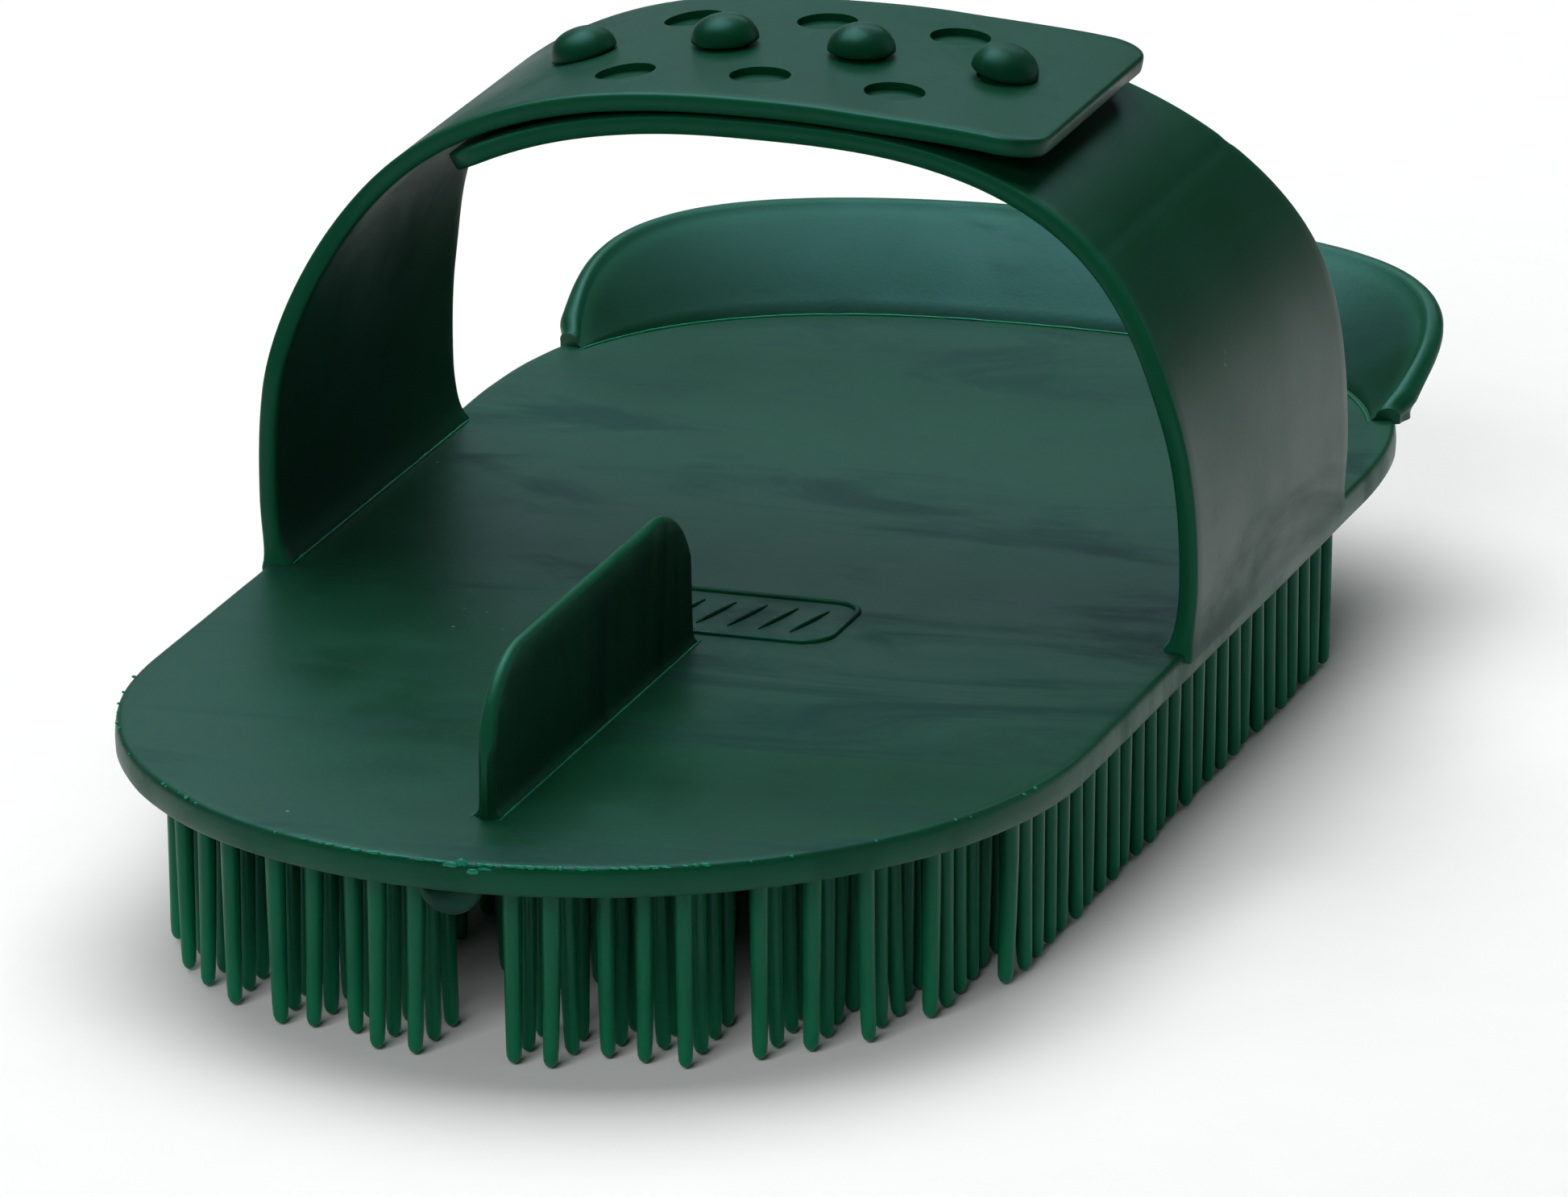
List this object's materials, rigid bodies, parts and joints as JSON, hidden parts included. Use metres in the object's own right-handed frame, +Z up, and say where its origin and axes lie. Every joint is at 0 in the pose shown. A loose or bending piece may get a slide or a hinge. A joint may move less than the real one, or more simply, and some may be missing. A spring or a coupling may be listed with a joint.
{
  "type": "rubber curry brush with hand strap",
  "caption": "Long oval grooming plate with round pins below, an upright fin, a flared end guard and an arched hand strap of two halves buttoned over domed studs.",
  "frame": {"origin": "centre of the overall box in X and Y, at the height of the pin tips", "axes": "+Z up from the pin tips to the strap, +Y along the plate from the fin end to the guard end, +X to the right seen from the fin end"},
  "size_m": [0.0972, 0.1898, 0.0744],
  "materials": {
    "body_rubber": "satin moulded dark green",
    "strap_rubber": "satin moulded dark green"
  },
  "bodies": {
    "brush_body": {"pin_plate": "body_rubber", "thumb_fin": "body_rubber", "end_guard": "body_rubber", "emblem_border": "body_rubber", "strap_right": "strap_rubber", "strap_left_root": "strap_rubber", "stud_1": "strap_rubber", "stud_2": "strap_rubber", "stud_3": "strap_rubber", "stud_4": "strap_rubber"},
    "strap_flap": {"strap_left_flap": "strap_rubber"}
  },
  "joints": [
    {"name": "strap_peel", "type": "hinge", "parent": "brush_body", "child": "strap_flap", "pos_m": [-0.03252, 0.0087, 0.06389], "axis": [0, -1, 0], "range_deg": [0, 100]}
  ]
}
